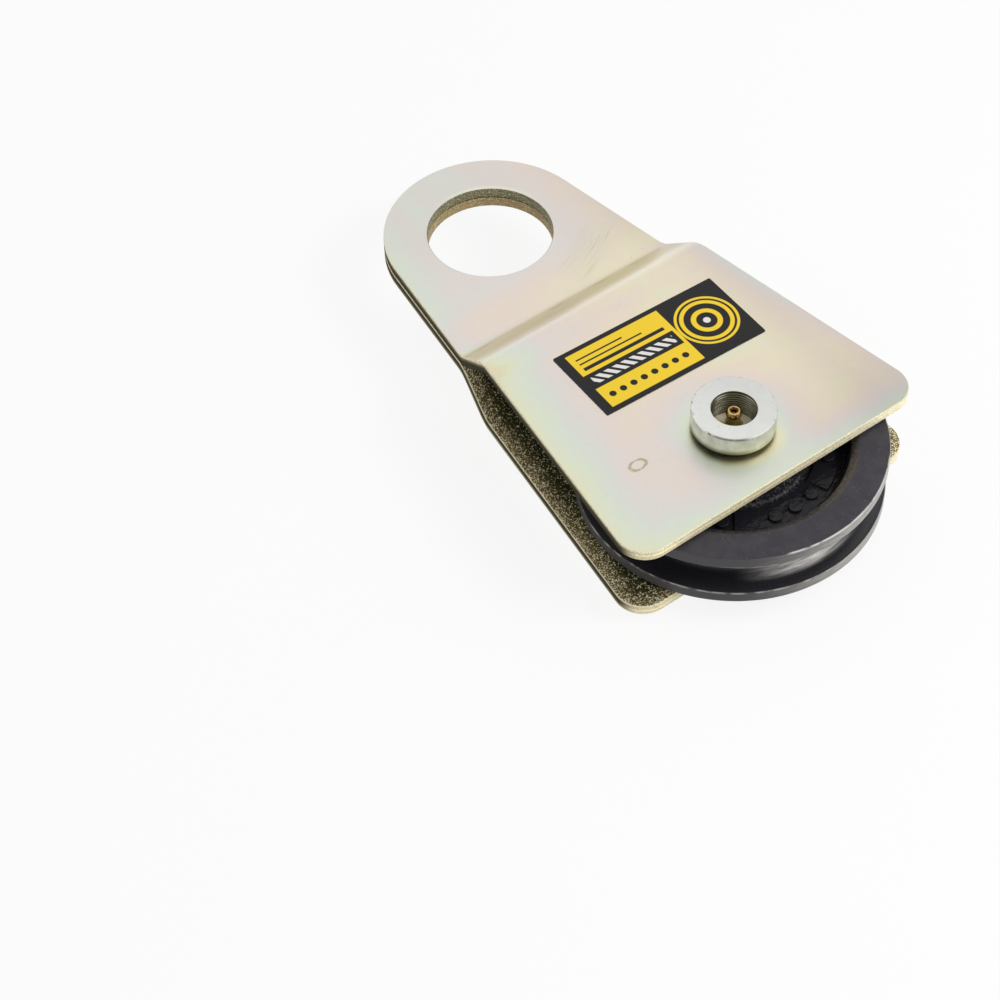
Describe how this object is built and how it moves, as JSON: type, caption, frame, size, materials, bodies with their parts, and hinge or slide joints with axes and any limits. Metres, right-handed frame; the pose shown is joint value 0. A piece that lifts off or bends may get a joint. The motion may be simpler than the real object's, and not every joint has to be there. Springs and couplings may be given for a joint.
{
  "type": "snatch block",
  "caption": "Snatch block: a grooved rope sheave on a greased pin between two joggled steel cheek plates that meet in a shackle eye; one plate swings open.",
  "frame": {"origin": "on the pin's axis, at the flat back face of the pin and its collar, which the block lies on", "axes": "+Z along the pin, from the back of the block to the nipple in its head; +Y from the pin to the shackle eye; +X across the plates"},
  "size_m": [0.144, 0.269, 0.0557],
  "materials": {
    "front_zinc": "satin zinc with a faint rainbow passivation",
    "rear_zinc": "satin zinc, golden and grainy inside",
    "bright_zinc": "matt bright zinc",
    "black_casting": "glossy black paint over a rough casting, worn silver at the rims",
    "bronze": "turned",
    "brass": "dull turned brass",
    "bright_steel": "polished",
    "label_vinyl": "printed yellow and black"
  },
  "bodies": {
    "fixed_plate": {"rear_plate": "rear_zinc", "axle_pin": "bright_zinc", "rear_collar": "bright_zinc", "grease_nipple": "brass", "nipple_spring": "bright_steel"},
    "swing_plate": {"front_plate": "front_zinc", "label": "label_vinyl"},
    "sheave_wheel": {"sheave": "black_casting", "sheave_bush": "bronze"},
    "front_washer": {"front_thrust_washer": "bright_steel"},
    "rear_washer": {"rear_thrust_washer": "bright_steel"},
    "ball_valve": {"nipple_ball": "bright_steel"}
  },
  "joints": [
    {"name": "plate_swing", "type": "hinge", "parent": "fixed_plate", "child": "swing_plate", "pos_m": [0, 0, 0.0423], "axis": [0, 0, 1], "continuous": true},
    {"name": "sheave_spin", "type": "hinge", "parent": "fixed_plate", "child": "sheave_wheel", "pos_m": [0, 0, 0.02555], "axis": [0, 0, 1], "continuous": true},
    {"name": "front_washer_spin", "type": "hinge", "parent": "fixed_plate", "child": "front_washer", "pos_m": [0, 0, 0.039], "axis": [0, 0, 1], "continuous": true},
    {"name": "rear_washer_spin", "type": "hinge", "parent": "fixed_plate", "child": "rear_washer", "pos_m": [0, 0, 0.0121], "axis": [0, 0, 1], "continuous": true},
    {"name": "ball_press", "type": "slide", "parent": "fixed_plate", "child": "ball_valve", "axis": [0, 0, -1], "range_m": [0, 0.0008], "stiffness_N_per_m": 300, "springref_m": -0.001, "deforming": ["nipple_spring"]}
  ]
}
